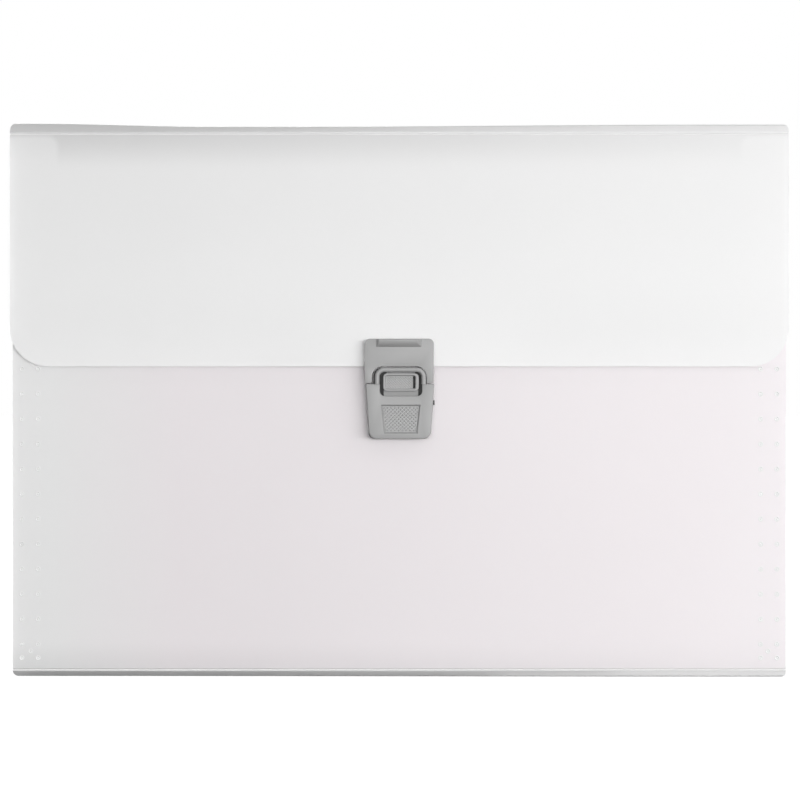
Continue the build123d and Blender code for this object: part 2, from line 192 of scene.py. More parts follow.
def frosted_sheet(name, pale, deep, through, roughness=0.42, tooth=0.02, shade=None, tints_and_shades=()):
    """A milky sheet: two near whites that drift into each other, and the share of light let through."""
    material, tree, out = new_material(name)
    place = add_node(tree, "ShaderNodeTexCoord").outputs["Object"]
    drift = add_node(tree, "ShaderNodeTexNoise", {
        "Vector": place, "Scale": 1 / (sheet_wave * MM), "Detail": 2.0})
    tint = add_node(tree, "ShaderNodeMix", {"Factor": drift.outputs["Fac"]}, data_type="RGBA")
    tint.inputs[6].default_value = linear(deep)
    tint.inputs[7].default_value = linear(pale)
    colour = crease_shade(tree, place, tint.outputs[2], **shade) if shade else tint.outputs[2]
    for tint_or_shade, axis, start, end in tints_and_shades:
        colour = tinted_or_shaded(tree, place, colour, tint_or_shade, axis, start, end)
    grain = add_node(tree, "ShaderNodeTexNoise", {
        "Vector": place, "Scale": 1 / (sheet_tooth * MM), "Detail": 3.0})
    slow = add_node(tree, "ShaderNodeBump", {
        "Height": drift.outputs["Fac"], "Distance": wave_height * MM})
    fine = add_node(tree, "ShaderNodeBump", {
        "Height": grain.outputs["Fac"], "Distance": tooth * MM, "Normal": slow.outputs["Normal"]})
    haze = add_node(tree, "ShaderNodeBsdfPrincipled", {
        "Base Color": colour, "Roughness": roughness, "IOR": 1.49, "Normal": fine.outputs["Normal"]})
    glow = add_node(tree, "ShaderNodeBsdfTranslucent", {
        "Color": colour, "Normal": fine.outputs["Normal"]})
    sheet = add_node(tree, "ShaderNodeMixShader", {
        "Fac": through, 1: haze.outputs[0], 2: glow.outputs[0]})
    tree.links.new(sheet.outputs[0], out.inputs["Surface"])
    return material


gusset_top = 229.0
no_flange = -300.0
cover_plastic = frosted_sheet("frosted_polypropylene_sheet", "#FBFBFB", "#F8F8F8", 0.33)
# Painted light and shade: the crown starts from a lighter white than the other sheets and darkens towards
# the left.
crown_plastic = frosted_sheet("frosted_polypropylene_crown", "#FFFFFF", "#FDFDFD", 0.33,
                              tints_and_shades=[("#EAEAEA", "X", 20, -sheet_half)])
# Painted light and shade: the flap starts from a lighter white than the other sheets, darkens towards its
# top, and has painted shade under its crease, deepest on the left.
flap_plastic = frosted_sheet(
    "frosted_polypropylene_flap", "#FFFFFF", "#FCFCFC", 0.33, tints_and_shades=[("#FBFBFB", "Z", 140, 200)],
    shade={"dark": "#E5E5E5", "start": 213, "end": 232.5, "left": 1.0, "right": 0.25,
           "flange_top": gusset_top})
# The panel's pink trace is the dividers showing through. Painted light and shade: it starts from a
# lighter white than the other sheets, darkens towards the left, and has painted shade at its foot.
panel_plastic = frosted_sheet(
    "frosted_polypropylene_panel", "#FFFFFF", "#FCFCFC", 0.33,
    tints_and_shades=[("#FFFBFD", "X", -146, -93), ("#FAFAFA", "X", sheet_half, -60)],
    shade={"dark": "#F2F2F2", "start": 17, "end": 2, "left": 1.0, "right": 0.2,
           "flange_top": no_flange})
film_plastic = frosted_sheet("frosted_polypropylene_film", "#FAFAFA", "#F7F7F7", 0.60)
divider_plastic = frosted_sheet("tinted_polypropylene_divider", "#F2DFE3", "#EEDADF", 0.45)
weld_plastic = frosted_sheet("melted_polypropylene_weld", "#FDFDFD", "#FBFBFB", 0.24, roughness=0.25,
                             tooth=0.004)

# %% [markdown]
# The clasp is injection moulded ABS in mid grey. Its mould was spark eroded, which leaves an even satin
# of fine pits, so the light spreads over the rounded edges instead of glinting on them. The knurled
# floors get a slightly lighter copy of the grey, a painted highlight. The plate that closes it at the
# back is painted near black, as painted shade, which makes every gap read black, and the spring inside is
# acetal, whiter and slicker.

# %% Moulded clasp plastics
pit_width = 0.35


def moulded_plastic(name, colour, roughness, ior, pits=0.006):
    """An even moulded plastic with a fine satin."""
    material, tree, out = new_material(name)
    place = add_node(tree, "ShaderNodeTexCoord").outputs["Object"]
    grain = add_node(tree, "ShaderNodeTexNoise", {
        "Vector": place, "Scale": 1 / (pit_width * MM), "Detail": 2.0})
    fine = add_node(tree, "ShaderNodeBump", {"Height": grain.outputs["Fac"], "Distance": pits * MM})
    body = add_node(tree, "ShaderNodeBsdfPrincipled", {
        "Base Color": linear(colour), "Roughness": roughness, "IOR": ior,
        "Normal": fine.outputs["Normal"]})
    tree.links.new(body.outputs[0], out.inputs["Surface"])
    return material


clasp_plastic = moulded_plastic("grey_moulded_abs", "#969696", 0.45, 1.53)
# Painted highlight: the knurl's grey is a little lighter than the clasp's, and a little glossier.
knurl_highlit_plastic = moulded_plastic("grey_moulded_abs_knurl_highlit", "#9B9B9B", 0.38, 1.53)
# Painted shade: the base plate is near black so that every gap in the clasp reads as shadow.
painted_shadow_plastic = moulded_plastic("painted_shadow_moulded_abs", "#2E2E2E", 0.50, 1.53)
spring_plastic = moulded_plastic("white_moulded_acetal", "#DCDAD4", 0.3, 1.48, 0.002)

# %% [markdown]
# The CAD nodes that stay get their finish here. Each is a loose-triangle mesh that is already right,
# so only its material slots change.

# %% Dress the CAD sheets
def dress(material, *nodes):
    """Gives CAD nodes one material."""
    for node in nodes:
        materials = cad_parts[node].data.materials
        materials.clear()
        materials.append(material)


dividers = sorted(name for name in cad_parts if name.startswith("divider"))
dress(cover_plastic, "back_panel", "bottom_spine", "top_spine")
dress(flap_plastic, "flap")
dress(panel_plastic, "front_panel")
dress(film_plastic, "left_gusset", "right_gusset")
dress(divider_plastic, *dividers)
dress(clasp_plastic, "catch_plate", "catch_backing_plate", "latch_housing", "latch_backing_plate",
      "latch_slider")
# The latch base gets the near black painted shade.
dress(painted_shadow_plastic, "latch_base")
dress(spring_plastic, "latch_spring")
print("dividers:", len(dividers))

# %% [markdown]
# Every new piece starts as a block or a flat sheet at its place and is shaped in edit mode. Blender's
# operators act on what is selected, so one helper selects by place and direction, in millimetres,
# and the others save the steps that every piece repeats.

# %% Modelling helpers
def clear_bench():
    """Leaves edit mode and deselects everything."""
    if bpy.context.object and bpy.context.object.mode == "EDIT":
        bpy.ops.object.mode_set(mode="OBJECT")
    bpy.ops.object.select_all(action="DESELECT")


def alone(piece):
    """Makes a piece the only selected object, in object mode."""
    clear_bench()
    piece.select_set(True)
    bpy.context.view_layer.objects.active = piece


def start_block(low, high):
    """A block between two corners in millimetres."""
    clear_bench()
    low, high = Vector(low) * MM, Vector(high) * MM
    bpy.ops.mesh.primitive_cube_add(size=1, location=(low + high) / 2)
    bpy.context.object.scale = high - low
    bpy.ops.object.transform_apply()
    return bpy.context.object


def start_sheet(width, depth, place, turn=(0, 0, 0), cells=(1, 1)):
    """A flat sheet of so many cells, sized, turned and placed in millimetres."""
    clear_bench()
    bpy.ops.mesh.primitive_grid_add(x_subdivisions=cells[0], y_subdivisions=cells[1], size=1)
    made = bpy.context.object
    made.scale = (width * MM, depth * MM, 1)
    made.rotation_euler = turn
    made.location = [value * MM for value in place]
    bpy.ops.object.transform_apply()
    return made


def pick(piece, kind, wanted):
    """In edit mode, selects the 'VERT', 'EDGE' or 'FACE' parts wanted by their middle and direction."""
    bpy.context.view_layer.objects.active = piece
    if piece.mode != "EDIT":
        bpy.ops.object.mode_set(mode="EDIT")
    bpy.ops.mesh.select_mode(type=kind)
    bpy.ops.mesh.select_all(action="DESELECT")
    shape = bmesh.from_edit_mesh(piece.data)
    shape.normal_update()
    if kind == "FACE":
        found = [(face, face.calc_center_median(), face.normal) for face in shape.faces]
    elif kind == "EDGE":
        found = [(edge, (edge.verts[0].co + edge.verts[1].co) / 2,
                  (edge.verts[1].co - edge.verts[0].co).normalized()) for edge in shape.edges]
    else:
        found = [(vertex, vertex.co, vertex.normal) for vertex in shape.verts]
    for part, middle, along in found:
        if wanted(middle / MM, along):
            part.select = True
    shape.select_flush_mode()
    bmesh.update_edit_mesh(piece.data)


def bevel_along(axis, piece, width, segments, wanted=lambda at: True):
    """Bevels the edges of a piece that run along 'x', 'y' or 'z' and are wanted by their middle."""
    pick(piece, "EDGE", lambda at, along: abs(getattr(along, axis)) > 0.9 and wanted(at))
    bpy.ops.mesh.bevel(offset=width * MM, segments=segments)


def shape_with(piece, kind, **settings):
    """Adds a modifier with these settings and applies it."""
    alone(piece)
    modifier = piece.modifiers.new(kind.lower(), kind)
    for name, value in settings.items():
        setattr(modifier, name, value)
    bpy.ops.object.modifier_apply(modifier=modifier.name)


def cut_with(piece, cutter, operation="DIFFERENCE"):
    """Cuts one shape with another and throws the cutter away. 'INTERSECT' keeps what both share."""
    alone(cutter)
    shape_with(piece, "BOOLEAN", object=cutter, operation=operation, solver="EXACT")
    bpy.data.objects.remove(cutter)


def round_edges(piece, width, segments, sharp):
    """Bevels the edges of a piece that turn by more than an angle in degrees."""
    shape_with(piece, "BEVEL", width=width * MM, segments=segments, limit_method="ANGLE",
               angle_limit=radians(sharp))


def extrude_by(x, y, z):
    """Extrudes what is selected by millimetres."""
    bpy.ops.mesh.extrude_region_move(TRANSFORM_OT_translate={"value": (x * MM, y * MM, z * MM)})


def merge(pieces):
    """Joins pieces into the first."""
    alone(pieces[0])
    for piece in pieces:
        piece.select_set(True)
    bpy.ops.object.join()
    return pieces[0]


def copied(piece, move=(0, 0, 0), mirrored=False):
    """A copy with its own mesh, moved by millimetres or mirrored across the middle."""
    alone(piece)
    bpy.ops.object.duplicate()
    made = bpy.context.object
    made.location = Vector(move) * MM
    if mirrored:
        made.scale.x = -1
    bpy.ops.object.transform_apply()
    if mirrored:
        bpy.ops.object.mode_set(mode="EDIT")
        bpy.ops.mesh.select_all(action="SELECT")
        bpy.ops.mesh.flip_normals()
        bpy.ops.object.mode_set(mode="OBJECT")
    return made


def finish_piece(piece, name, material, body=None, smooth=35):
    """Smooths, names and dresses a piece, and lets it ride on its CAD body."""
    alone(piece)
    bpy.ops.object.shade_smooth_by_angle(angle=radians(smooth))
    piece.name = name
    piece.data.name = name
    piece.data.materials.clear()
    piece.data.materials.append(material)
    if body:
        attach(piece, body)


def finish_pair(right, name, material, body=None):
    """Finishes a piece of the right side and its mirrored copy for the left, and gives back both."""
    pair = (("right", right), ("left", copied(right, mirrored=True)))
    for side, piece in pair:
        finish_piece(piece, f"{side}_{name}", material, body)
    return pair


# %% [markdown]
# The catch plate is the clasp's upper half, riveted to the flap. On the real one the face is flat
# with softly rounded edges, two skirts go round the flap's edge, and the latch's arch comes up
# through a cut-out with round shoulders. It is a block here: the foot is drawn in, the lower back is
# pushed out for the skirts, the top corners are bevelled, the cut-out is taken out with a second
# block, and a small bevel all round is what a mould needs and what catches the light.

# %% Catch plate
flap_low, flap_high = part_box("flap")
catch_low, catch_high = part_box("catch_plate")
flap_face = flap_low.y / MM
flap_edge = flap_low.z / MM
catch_foot = catch_low.z / MM
catch_top = catch_high.z / MM
catch_half = 14.65
catch_foot_half = 14.45
catch_corner = 2.2
clasp_face = -25.0
shoulder = 124.3
arch_half = 10.9
arch_top = 131.3
notch_half = arch_half + 0.7
notch_top = arch_top + 0.5
notch_corner = 4.7
in_front = -30.0
behind = -15.0
skirt = 2.4
mould_round = 0.35
plate = start_block((-catch_half, clasp_face, catch_foot), (catch_half, flap_face, catch_top))
pick(plate, "VERT", lambda at, facing: at.z < catch_foot + 1)
bpy.ops.transform.resize(value=(catch_foot_half / catch_half, 1, 1), center_override=(0, 0, 0))
pick(plate, "FACE", lambda at, facing: True)
bpy.ops.mesh.bisect(plane_co=(0, 0, (flap_edge - 0.5) * MM), plane_no=(0, 0, 1))
pick(plate, "FACE", lambda at, facing: facing.y > 0.9 and at.z < flap_edge - 0.5)
extrude_by(0, skirt, 0)
bevel_along("y", plate, catch_corner, 7, lambda at: at.z > catch_top - 0.5)
notch = start_block((-notch_half, in_front, catch_foot - 5), (notch_half, behind, notch_top))
bevel_along("y", notch, notch_corner, 9, lambda at: at.z > notch_top - 0.5)
cut_with(plate, notch)
round_edges(plate, mould_round, 3, 40)
print("catch plate faces:", len(plate.data.polygons))

# %% [markdown]
# The lip is the thumb's ledge along the plate's head. Its underside slopes out to a crest and the
# crest rounds back to the top edge, and both ends fall away, widest at the top. A block is drawn in
# at its front, less at the left, its lower front edge is lifted, and wide bevels round the crest into
# the underside, so that it darkens evenly from its top to its foot.

# %% Lip of the catch plate
lip_half = 9.9
crest_y = clasp_face - 1
crest_half = 7.5
crest_shift = 1.2
crest_lift = 2.1
lip = start_block((-lip_half, clasp_face - 1.8, catch_top - 3.85),
                  (lip_half, clasp_face + 0.4, catch_top - 0.05))
pick(lip, "VERT", lambda at, facing: at.y < crest_y)
bpy.ops.transform.resize(value=(crest_half / lip_half, 1, 1), center_override=(0, 0, 0))
pick(lip, "VERT", lambda at, facing: at.y < crest_y and at.x < 0)
bpy.ops.transform.translate(value=(-crest_shift * MM, 0, 0))
pick(lip, "VERT", lambda at, facing: at.y < crest_y and at.z < catch_top - 2)
bpy.ops.transform.translate(value=(0, 0, crest_lift * MM))
bevel_along("x", lip, 0.95, 7, lambda at: at.y < crest_y and at.z < catch_top - 1)
bevel_along("x", lip, 0.7, 6, lambda at: at.y < crest_y and at.z > catch_top - 0.5)
round_edges(lip, mould_round, 3, 35)
print("lip faces:", len(lip.data.polygons))

# %% [markdown]
# Two studs are moulded on the plate's back. They pass through the flap, and their ends are hot
# pressed into low domes over the backing plate. A disc with a bevelled rim is that dome.

# %% Rivet heads
head_radius = 2.0
head_height = 0.6
stud_radius = 1.3


def rivet(x, z, tip_y, root_y):
    """A stud with a domed head at its tip, between two depths."""
    clear_bench()
    bpy.ops.mesh.primitive_cylinder_add(
        vertices=24, radius=head_radius * MM, depth=head_height * MM, rotation=(pi / 2, 0, 0),
        location=(x * MM, (tip_y - head_height / 2) * MM, z * MM))
    stud = bpy.context.object
    bpy.ops.object.transform_apply()
    pick(stud, "FACE", lambda at, facing: facing.y > 0.9)
    bpy.ops.mesh.bevel(offset=0.4 * MM, segments=3)
    pick(stud, "FACE", lambda at, facing: facing.y < -0.9)
    bpy.ops.mesh.inset(thickness=(head_radius - stud_radius) * MM)
    extrude_by(0, root_y - tip_y + head_height, 0)
    return stud


catch_backing_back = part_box("catch_backing_plate")[1].y / MM
catch_studs = [rivet(x, catch_top - 5.4, catch_backing_back + head_height, flap_face - 0.5)
               for x in (-9, 9)]
plate = merge([plate, lip, *catch_studs])
finish_piece(plate, "catch_plate_moulding", clasp_plastic, "flap", smooth=40)
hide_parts("catch_plate")
print("catch plate:", len(plate.data.polygons), "faces")

# %% [markdown]
# The latch housing is the lower half, riveted to the front panel. It is a shallow shell: the slider
# and its spring sit in a chamber behind the face, and the button shows through a window whose upper
# half is the arch. A tapered block gets round lower corners, then the window and the chamber are cut.
# On the real one the face sits a little to the right of the plate above it, and the window further
# still, so the front corners are moved and the cutter is set off by those amounts.

# %% Latch housing
latch_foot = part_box("latch_housing")[0].z / MM
latch_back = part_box("latch_base")[0].y / MM
latch_half = 14.35
latch_foot_half = 12.8
latch_corner = 3.1
sill = 119.2
window_half = 8.9
window_corner = 2.0
face_shift = 0.45
window_shift = 0.7
housing = start_block((-latch_half, clasp_face, latch_foot), (latch_half, latch_back, shoulder))
pick(housing, "VERT", lambda at, facing: at.z < latch_foot + 1)
bpy.ops.transform.resize(value=(latch_foot_half / latch_half, 1, 1), center_override=(0, 0, 0))
bevel_along("y", housing, latch_corner, 8, lambda at: at.z < latch_foot + 0.5)
pick(housing, "VERT", lambda at, facing: at.y < clasp_face + 1 and at.x < 0)
bpy.ops.transform.translate(value=(face_shift / 2 * MM, 0, 0))
pick(housing, "VERT", lambda at, facing: at.y < clasp_face + 1 and at.x > 0)
bpy.ops.transform.translate(value=(face_shift * MM, 0, 0))
window = start_block((window_shift - window_half, in_front, sill),
                     (window_shift + window_half, behind, shoulder + 5))
bevel_along("y", window, window_corner, 6, lambda at: at.z < sill + 0.5)
cut_with(housing, window)
round_edges(housing, mould_round, 3, 40)
wall = 1.6
chamber_foot = 111.7
cut_with(housing, start_block((-11, clasp_face + wall, chamber_foot), (11, behind, shoulder - wall)))
print("housing depth:", round(latch_back - clasp_face, 2), "mm")

# %% [markdown]
# Under the window an inlay is sunk into the face, also a little to the right. Its cutter is a block
# drawn in at its foot, and again at its back, which gives the pocket sloping sides.

# %% Sunk inlay
inlay_foot = latch_foot + 2.2
inlay_top = inlay_foot + 12.2
inlay_half = 8.4
inlay_foot_half = 7.1
inlay_shift = 0.6
inlay_floor = clasp_face + 0.8
inlay_middle = (inlay_foot + inlay_top) / 2
border = 0.2
pocket = start_block((inlay_shift - inlay_half - border, clasp_face - 0.2, inlay_foot - border),
                     (inlay_shift + inlay_half + border, inlay_floor, inlay_top + border))
pick(pocket, "VERT", lambda at, facing: at.z < inlay_foot + 1)
bpy.ops.transform.resize(value=(inlay_foot_half / inlay_half, 1, 1),
                         center_override=(inlay_shift * MM, 0, 0))
pick(pocket, "VERT", lambda at, facing: at.y > clasp_face)
bpy.ops.transform.resize(value=(0.9, 1, 0.87),
                         center_override=(inlay_shift * MM, 0, inlay_middle * MM))
cut_with(housing, pocket)
print("latch housing faces:", len(housing.data.polygons))

# %% [markdown]
# The arch is a bar with a round front that goes up one side, over and down the other. It is drawn
# the way a bar is bent: a rounded section is extruded up the leg, spun a quarter turn, extruded
# across, spun again and extruded down.

# %% Arch of the latch
arch_left = face_shift - arch_half + 0.1
arch_right = face_shift + arch_half
bend = 4.0
bend_z = arch_top - bend
leg_foot = shoulder - 0.15
leg_width = 2.0
leg_depth = 6.9
arch = start_sheet(leg_width, leg_depth,
                   (arch_left + leg_width / 2, clasp_face - 1.1 + leg_depth / 2, leg_foot))
pick(arch, "VERT", lambda at, facing: at.y < clasp_face)
bpy.ops.mesh.bevel(offset=0.9 * MM, segments=5, affect="VERTICES")
pick(arch, "FACE", lambda at, facing: True)
extrude_by(0, 0, bend_z - leg_foot)
bpy.ops.mesh.spin(steps=8, angle=-pi / 2, center=((arch_left + bend) * MM, 0, bend_z * MM),
                  axis=(0, 1, 0))
extrude_by(arch_right - arch_left - 2 * bend, 0, 0)
bpy.ops.mesh.spin(steps=8, angle=-pi / 2, center=((arch_right - bend) * MM, 0, bend_z * MM),
                  axis=(0, 1, 0))
extrude_by(0, 0, leg_foot - bend_z)
bpy.ops.mesh.select_all(action="SELECT")
bpy.ops.mesh.remove_doubles(threshold=0.001 * MM)
bpy.ops.mesh.normals_make_consistent(inside=False)
cut_with(arch, start_block((-3.7, -22.8, arch_top - 3), (3.7, -20.8, arch_top + 1)))
print("arch faces:", len(arch.data.polygons))

# %% [markdown]
# The inlay under the window is knurled for the thumb. A moulded knurl is rows of small pyramids set
# at 45 degrees, with narrow channels between them. A grid turned by 45 degrees is cut to the inlay's
# outline, each of its squares is inset for the channel, and poking what is left raises the pyramid.
# The same serves for the button's recess, at a finer pitch.

# %% Knurled floors
channel = 0.14


def knurl(outline, floor_y, square, rise):
    """Pyramids on a floor inside an outline of (x, z) corners, given anticlockwise from the front."""
    middle_x = sum(x for x, z in outline) / len(outline)
    middle_z = sum(z for x, z in outline) / len(outline)
    reach = 2 * max(hypot(x - middle_x, z - middle_z) for x, z in outline)
    count = int(reach / square)
    side = count * square
    field = start_sheet(side, side, (middle_x, floor_y, middle_z), (pi / 2, pi / 4, 0), (count, count))
    for (x, z), (next_x, next_z) in zip(outline, outline[1:] + outline[:1]):
        pick(field, "FACE", lambda at, facing: True)
        bpy.ops.mesh.bisect(plane_co=(x * MM, 0, z * MM), clear_outer=True, threshold=0.001 * MM,
                            plane_no=Vector((next_z - z, 0, x - next_x)).normalized())
    pick(field, "FACE", lambda at, facing: True)
    bpy.ops.mesh.inset(thickness=channel * square * MM, use_individual=True)
    bpy.ops.mesh.poke(offset=rise * MM)
    bpy.ops.object.mode_set(mode="OBJECT")
    return field


knurl_foot = inlay_foot + 0.75
knurl_top = inlay_top - 0.75
inlay = knurl([(inlay_shift - 6.35, knurl_foot), (inlay_shift + 6.35, knurl_foot),
               (inlay_shift + 7.6, knurl_top), (inlay_shift - 7.6, knurl_top)],
              inlay_floor - 0.02, square=1.13, rise=0.36)
print("inlay faces:", len(inlay.data.polygons), "facing", tuple(inlay.data.polygons[0].normal))
stud_places = ((-8.5, 105.3), (8.5, 105.3), (-12.45, 118.5), (12.45, 118.5))
housing_studs = [rivet(x, z, -14.6, -19.5) for x, z in stud_places]
housing = merge([housing, arch, *housing_studs])
finish_piece(housing, "latch_housing_moulding", clasp_plastic, "front_cover")
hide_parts("latch_housing")
finish_piece(inlay, "latch_inlay_knurl", knurl_highlit_plastic, "front_cover", smooth=5)

# %% [markdown]
# The slider is one moulding: the button in the window, a web and a wide foot behind the housing's
# wall, and a blade at the head that goes up through the arch and holds the catch plate. The button
# has a rounded rim round a recess, so a bevelled block is inset, pushed in and bevelled again, and
# the slot that the mould's core leaves is cut at the recess's right end. Under the button a sloping
# shelf fills the window down to the sill, and a low brow stands at the back of the gap over it.

# %% Slider and button
button_foot = 121.2
button_top = 128.8
button_half = 7.55
button_back = -21.4
button_corner = 1.7
rim = 0.95
rim_depth = 1.75
recess_left = window_shift - 6.2
recess_right = window_shift + 5.1
recess_foot = button_foot + 1.3
recess_top = button_top - 1.3
button = start_block((window_shift - button_half, clasp_face - 0.4, button_foot),
                     (window_shift + button_half, button_back, button_top))
bevel_along("y", button, button_corner, 6)
pick(button, "FACE", lambda at, facing: facing.y < -0.9)
bpy.ops.mesh.inset(thickness=rim * MM)
bpy.ops.transform.resize(value=(0.962, 1, 1),
                         center_override=((window_shift - button_half + rim) * MM, 0, 0))
extrude_by(0, rim_depth, 0)
round_edges(button, 0.33, 4, 40)
cut_with(button, start_block((recess_right, in_front, recess_foot),
                             (window_shift + 6.0, -20, recess_top)))
print("button faces:", len(button.data.polygons))

# %% [markdown]
# The rest of the slider is behind the button: plain blocks that run into each other, of which only
# the shelf's front is sloped. Joined, they get a small bevel, and the recess its grain.

# %% Web, foot, shelf, brow and blade
web = start_block((-5.5, -21.9, 118.5), (5.5, -20.4, button_top - 0.4))
foot = start_block((-10.4, -23.2, 116.9), (10.4, -20.4, 119.1))
shelf = start_block((window_shift - 7.3, -23.35, 119.05),
                    (window_shift + 7.3, -21.2, button_foot + 0.6))
pick(shelf, "VERT", lambda at, facing: at.y < -23 and at.z < 119.5)
bpy.ops.transform.translate(value=(0, 0.45 * MM, 0))
brow = start_block((window_shift - 6.0, -22.3, button_top - 0.5),
                   (window_shift + 6.0, -21.2, button_top + 0.4))
blade = start_block((-3.5, -22.2, button_top - 0.5), (3.5, -21.0, 131.4))
slider = merge([button, web, foot, shelf, brow, blade])
round_edges(slider, 0.1, 1, 70)
finish_piece(slider, "latch_slider_moulding", clasp_plastic, "latch_slider", smooth=40)
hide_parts("latch_slider")
recess = knurl([(recess_left, recess_foot), (recess_right, recess_foot),
                (recess_right, recess_top), (recess_left, recess_top)],
               clasp_face + 1.33, square=0.75, rise=0.16)
finish_piece(recess, "button_recess_grain", knurl_highlit_plastic, "latch_slider", smooth=5)
print("slider:", len(slider.data.polygons), "faces, recess:", len(recess.data.polygons))

# %% [markdown]
# The spring is a strip of acetal, moulded with a bow, that lies under the slider's foot and pushes it
# back up. A narrow grid is raised to a bow and gets its thickness. It flattens as the button goes down;
# this piece keeps its bow.

# %% Spring of the slider
spring_low, spring_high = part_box("latch_spring")
spring_rise = spring_high.z - spring_low.z
spring_width, spring_depth, spring_height = (spring_high - spring_low) / MM
spring_y = (spring_low.y + spring_high.y) / 2 / MM
spring_sheet = 0.4
spring = start_sheet(spring_width, spring_depth, (0, spring_y, spring_low.z / MM + spring_sheet),
                     cells=(24, 2))
for vertex in spring.data.vertices:
    vertex.co.z += (spring_rise - spring_sheet * MM) * (1 - (vertex.co.x / spring_high.x) ** 2)
shape_with(spring, "SOLIDIFY", thickness=spring_sheet * MM, offset=-1.0)
round_edges(spring, 0.08, 2, 60)
finish_piece(spring, "latch_spring_bow", spring_plastic, "front_cover")
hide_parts("latch_spring")
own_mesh(spring)
print("spring rises", round(spring_height, 2), "mm")

# %% [markdown]
# The flap is a flat sheet held at its crease and at the clasp, and between those it settles: either
# side of the clasp its lower edge leans in until it almost touches the front panel. A grid gets its
# thickness, an outline block with round lower corners and a scored head is intersected with it, the
# notch for the arch is cut out, and the free edge is leaned in by its distance from the clasp.

# %% Flap
def smooth_step(value, start, end):
    """0 before start, 1 after end and an even ease between them."""
    share = min(max((value - start) / (end - start), 0.0), 1.0)
    return share * share * (3 - 2 * share)


def sheet_grid(low, high, cell):
    """A closed sheet that faces the front, divided into cells so that it can bend."""
    width, height = high[0] - low[0], high[2] - low[2]
    middle = [(start + end) / 2 for start, end in zip(low, high)]
    sheet = start_sheet(width, height, middle, (pi / 2, 0, 0), (int(width / cell), int(height / cell)))
    shape_with(sheet, "SOLIDIFY", thickness=(high[1] - low[1]) * MM, offset=0.0)
    return sheet


flap_top = flap_high.z / MM
flap_inside = flap_high.y / MM
flap_corner = 16.0
flap_sheet = sheet_grid((-sheet_half - 1, flap_face, flap_edge - 1),
                        (sheet_half + 1, flap_inside, flap_top + 1), cell=4.0)
outline = start_block((-sheet_half, flap_face - 0.01, flap_edge),
                      (sheet_half, flap_inside + 0.01, flap_top - 0.2))
bevel_along("y", outline, flap_corner, 14, lambda at: at.z < flap_edge + 1)
bevel_along("x", outline, 0.38, 1, lambda at: at.z > flap_top - 1)
cut_with(flap_sheet, outline, "INTERSECT")
cut_with(flap_sheet, start_block((-notch_half, in_front, flap_edge - 5),
                                 (notch_half, behind, notch_top + 0.3)))
lean_depth = 1.25
lean_height = 34
lean_start = 17
lean_end = 60
for vertex in flap_sheet.data.vertices:
    x, y, z = vertex.co / MM
    low = 1 - smooth_step(z, flap_edge, flap_edge + lean_height)
    vertex.co.y += lean_depth * low * smooth_step(abs(x), lean_start, lean_end) * MM
finish_piece(flap_sheet, "flap_sheet", flap_plastic, "flap", smooth=20)
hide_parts("flap")
print("flap faces:", len(flap_sheet.data.polygons))

# %% [markdown]
# Both spines are folded strips: a sloping facet away from each crease and a flat between them. The
# strip is extruded facet by facet, its two folds are rounded, it is divided along its length so that
# it can bend, and its ends are cut to round corners.

# %% Folded spine
cover_sheet = 0.8


def fold_along(strip, points, rounding):
    """Extrudes a strip from its edge at the second point through the rest, and rounds the folds."""
    for point, following in zip(points[1:], points[2:]):
        pick(strip, "EDGE", lambda at, along: (at - Vector(point)).length < 0.01)
        extrude_by(*(end - start for start, end in zip(point, following)))
    folds = [Vector(point) for point in points[1:-1]]
    pick(strip, "EDGE", lambda at, along: any((at - fold).length < 0.01 for fold in folds))
    bpy.ops.mesh.bevel(offset=rounding * MM, segments=4)


def folded_strip(line, half, corner, reach_z):
    """A strip along X through (y, z) points, ends at -half and half, corners round towards reach_z."""
    (y, z), (next_y, next_z) = line[:2]
    strip = start_sheet(2 * (half + 1), hypot(next_y - y, next_z - z),
                        (0, (y + next_y) / 2, (z + next_z) / 2), (atan2(next_z - z, next_y - y), 0, 0))
    fold_along(strip, [(0, y, z) for y, z in line], 1.2)
    pick(strip, "EDGE", lambda at, along: abs(along.x) > 0.9)
    bpy.ops.mesh.subdivide(number_cuts=40)
    shape_with(strip, "SOLIDIFY", thickness=cover_sheet * MM, offset=0.0, use_even_offset=True)
    brims = [line[0], line[-1]]
    bevel_along("x", strip, 0.36, 3,
                lambda at: any(hypot(at.y - y, at.z - z) < 0.5 for y, z in brims))
    past_brim = line[0][1] + (6 if reach_z < line[0][1] else -6)
    low_z, high_z = sorted((reach_z, past_brim))
    ends = start_block((-half, in_front, low_z), (half, -in_front, high_z))
    bevel_along("y", ends, corner, 6, lambda at: abs(at.z - reach_z) < 0.1)
    cut_with(strip, ends, "INTERSECT")
    return strip


# %% [markdown]
# Seen from the front the crown of the top spine isn't straight. It sags by a good millimetre left of
# its middle, where nothing holds it up, and by half of that towards the right. The front facets of
# both spines are shallow on the left, and stand steeper towards the right end, which is why they
# brighten there. Each spine's points start and end where its facets meet the creases.

